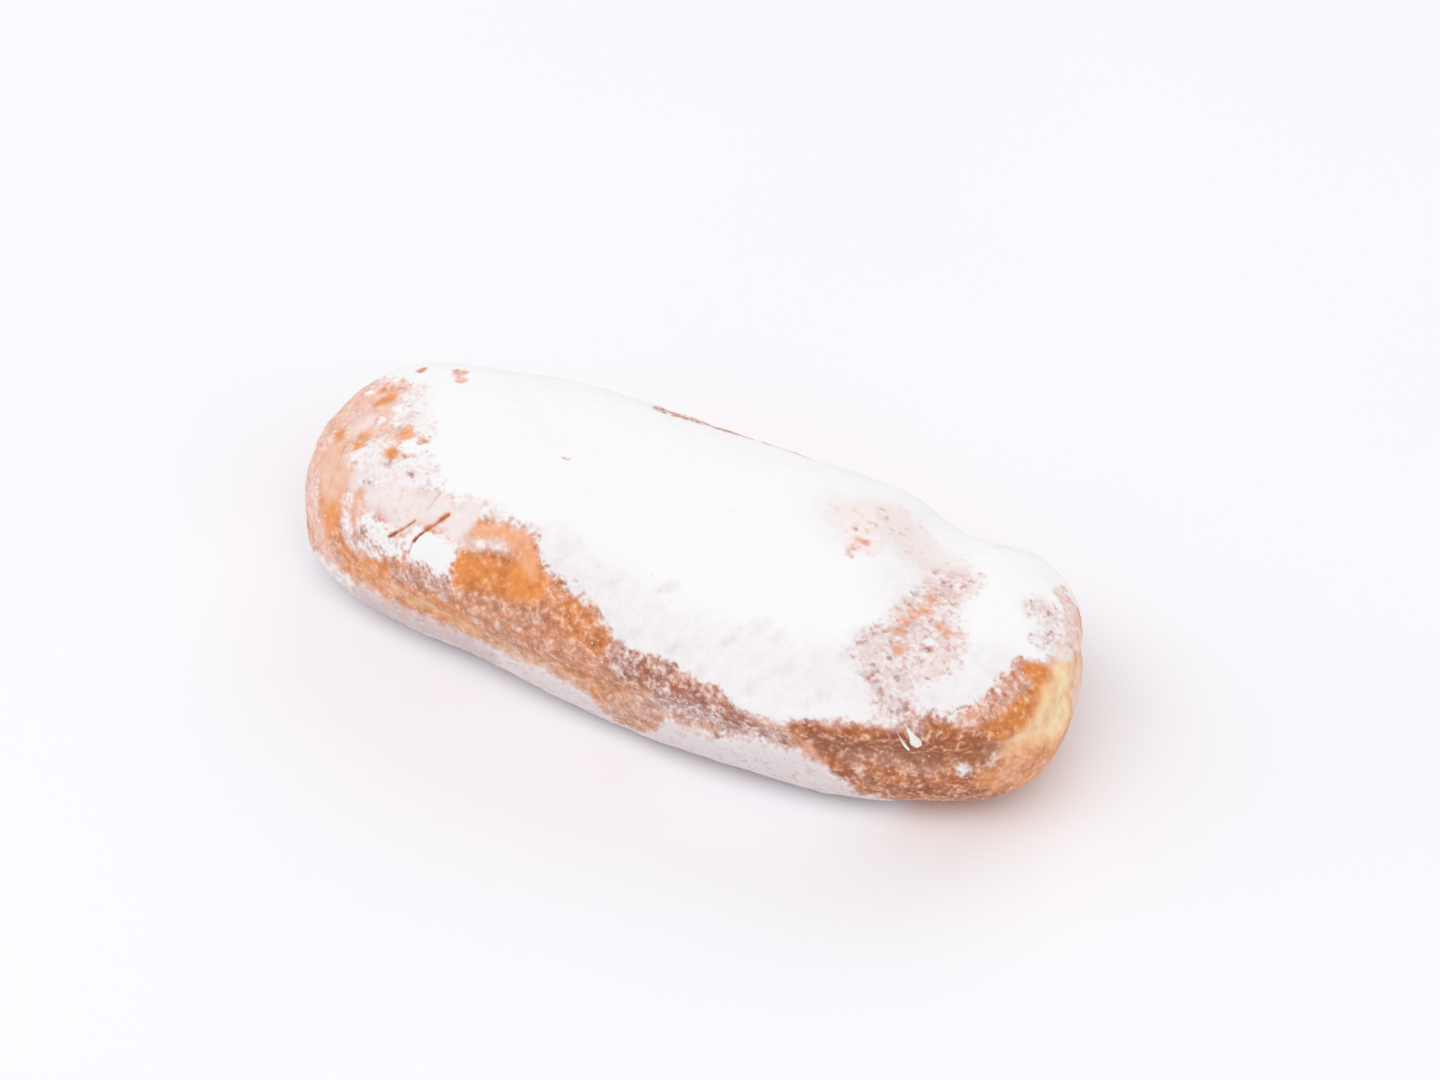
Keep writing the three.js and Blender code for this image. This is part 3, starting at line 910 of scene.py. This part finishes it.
def flake_grid(work, flake):
    """Adds a curled flake to a mesh, broad and broken off at its lower end and narrow at the other."""
    lower = Vector(flake["lower"])
    run = Vector(flake["upper"]) - lower
    outward = Vector(FLAKE_OUTWARD).normalized()
    side = run.cross(outward).normalized()
    rows, across = 22, 9
    narrowest, beside = 0.1, 5.0
    broken_off, lean, pinch = 0.1, 0.6, 1.7
    grid = []
    for i in range(rows):
        share = i / (rows - 1)
        belly = math.sin(math.pi * min(1, share + broken_off) ** lean) ** pinch
        breadth = flake["width"] * (narrowest + (1 - narrowest) * belly)
        line = []
        for j in range(across):
            off = 2 * j / (across - 1) - 1
            edge_place = lower + share * run + side * math.copysign(beside, off)
            ragged = 1 + FLAKE_RAGGEDNESS * noise.noise(edge_place / FLAKE_TOOTH)
            lift = FLAKE_GAP + flake["lift"] * math.sin(math.pi * share) + flake["curl"] * off * off * belly
            place = lower + share * run + side * (off * ragged * breadth / 2) + outward * lift
            place += noise.noise_vector(place / FLAKE_TOOTH) * FLAKE_CRUMPLE
            line.append(work.verts.new(place * MM))
        grid.append(line)
    for low, high in zip(grid[:-1], grid[1:]):
        for j in range(across - 1):
            work.faces.new((low[j], low[j + 1], high[j + 1], high[j]))


def make_flakes(sugar):
    noise.seed_set(NOISE_SEED)
    work = bmesh.new()
    for flake in FLAKES.values():
        flake_grid(work, flake)
    bmesh.ops.recalc_face_normals(work, faces=work.faces)
    mesh = bpy.data.meshes.new("sugar_flakes")
    work.to_mesh(mesh)
    work.free()
    obj = add_object("sugar_flakes", mesh)
    wall = obj.modifiers.new("thickness", "SOLIDIFY")
    wall.thickness = FLAKE_THICKNESS * MM
    wall.offset = 0
    rounder = obj.modifiers.new("rounder", "SUBSURF")
    rounder.levels = rounder.render_levels = 1
    mesh = take_finished_mesh(obj)
    mesh.shade_smooth()
    mesh.materials.clear()
    mesh.materials.append(loose_sugar("caked sugar", sugar.caked))
    return obj


# The stage


def lay_floor(stage):
    mesh = bpy.data.meshes.new("floor")
    corners = [(x * FLOOR_HALF, y * FLOOR_HALF, 0) for x, y in ((-1, -1), (1, -1), (1, 1), (-1, 1))]
    mesh.from_pydata(corners, [], [(0, 1, 2, 3)])
    material, graph, shader, place = new_finish("pale floor")
    cloud = graph.smoothstep(graph.noise(place, FLOOR_CLOUDS), -1.0, 1.0)
    greyer = tuple(FLOOR_GREY * channel for channel in stage.floor)
    graph.set_input(shader.inputs["Base Color"], graph.mix(cloud, opaque(greyer), opaque(stage.floor)))
    shader.inputs["Roughness"].default_value = 0.9
    shader.inputs["Specular IOR Level"].default_value = 0.1
    mesh.materials.append(material)
    add_object("floor", mesh)


def light_stage(scene, stage):
    world = bpy.data.worlds.new("soft room")
    world.use_nodes = True
    background = world.node_tree.nodes["Background"]
    background.inputs["Color"].default_value = opaque(stage.sky)
    background.inputs["Strength"].default_value = stage.sky_strength
    scene.world = world
    for name, softbox in SOFTBOXES.items():
        hang_light(name, softbox["place"], softbox["size"], softbox["share"] * stage.softbox_power)


def hang_light(name, place, size, power):
    """A soft light that faces the doughnut."""
    light = bpy.data.lights.new(name, "AREA")
    light.shape = "RECTANGLE"
    light.size, light.size_y = size
    light.energy = power
    lamp = add_object(name, light)
    lamp.location = place
    lamp.rotation_euler = Vector(place).to_track_quat("Z", "Y").to_euler()


def place_camera(scene, stage):
    """Puts the camera where the picture was taken from, looking at the point in the middle of its frame."""
    flat = math.cos(stage.elevation)
    back = Vector(
        (math.sin(stage.azimuth) * flat, -math.cos(stage.azimuth) * flat, math.sin(stage.elevation)))
    data = bpy.data.cameras.new("camera")
    data.sensor_fit = "HORIZONTAL"
    data.sensor_width = SENSOR_WIDTH
    data.lens = stage.lens
    data.clip_start = 0.01
    camera = add_object("camera", data)
    camera.location = Vector(LOOKED_AT) * MM + back * stage.distance
    camera.rotation_euler = back.to_track_quat("Z", "Y").to_euler()
    scene.camera = camera


# Operators


class DOUGHNUT_OT_crust(bpy.types.Operator):
    """Makes the fried dough with its coat of sugar in place of the plain solid"""
    bl_idname = "doughnut.crust"
    bl_label = "Crust and coat"

    def execute(self, context):
        obj = make_crust(context.scene.dough, context.scene.sugar)
        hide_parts(NODE)
        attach(obj, BODY)
        return {"FINISHED"}


class DOUGHNUT_OT_clumps(bpy.types.Operator):
    """Scatters loose clumps of sugar over the thinly covered crust"""
    bl_idname = "doughnut.clumps"
    bl_label = "Loose sugar"

    def execute(self, context):
        obj = make_clumps(bpy.data.objects["doughnut_crust"], context.scene.sugar)
        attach(obj, BODY)
        return {"FINISHED"}


class DOUGHNUT_OT_flakes(bpy.types.Operator):
    """Lays flakes of caked sugar on the front"""
    bl_idname = "doughnut.flakes"
    bl_label = "Sugar flakes"

    def execute(self, context):
        obj = make_flakes(context.scene.sugar)
        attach(obj, BODY)
        return {"FINISHED"}


class DOUGHNUT_OT_stage(bpy.types.Operator):
    """Lays a pale floor and sets soft light and the camera"""
    bl_idname = "doughnut.stage"
    bl_label = "Stage"

    def execute(self, context):
        stage = context.scene.doughnut_stage
        lay_floor(stage)
        light_stage(context.scene, stage)
        place_camera(context.scene, stage)
        context.scene.view_settings.view_transform = "Standard"
        return {"FINISHED"}


class DOUGHNUT_PT_panel(bpy.types.Panel):
    """Lists the settings and the steps"""
    bl_idname = "DOUGHNUT_PT_panel"
    bl_label = "Doughnut"
    bl_space_type = "VIEW_3D"
    bl_region_type = "UI"
    bl_category = "Doughnut"

    def draw(self, context):
        scene = context.scene
        steps = (
            (scene.dough, (DOUGHNUT_OT_crust,)),
            (scene.sugar, (DOUGHNUT_OT_clumps, DOUGHNUT_OT_flakes)),
            (scene.doughnut_stage, (DOUGHNUT_OT_stage,)),
        )
        for settings, operators in steps:
            column = self.layout.column()
            for name in settings.__annotations__:
                column.prop(settings, name)
            for operator in operators:
                column.operator(operator.bl_idname)


CLASSES = (
    DoughSettings, SugarSettings, StageSettings,
    DOUGHNUT_OT_crust, DOUGHNUT_OT_clumps, DOUGHNUT_OT_flakes, DOUGHNUT_OT_stage, DOUGHNUT_PT_panel,
)


def register():
    for cls in CLASSES:
        bpy.utils.register_class(cls)
    bpy.types.Scene.dough = bpy.props.PointerProperty(type=DoughSettings)
    bpy.types.Scene.sugar = bpy.props.PointerProperty(type=SugarSettings)
    bpy.types.Scene.doughnut_stage = bpy.props.PointerProperty(type=StageSettings)


def unregister():
    del bpy.types.Scene.doughnut_stage
    del bpy.types.Scene.sugar
    del bpy.types.Scene.dough
    for cls in reversed(CLASSES):
        bpy.utils.unregister_class(cls)


def main():
    register()
    bpy.ops.doughnut.stage()
    bpy.ops.doughnut.crust()
    bpy.ops.doughnut.clumps()
    bpy.ops.doughnut.flakes()


if __name__ == "__main__":
    main()
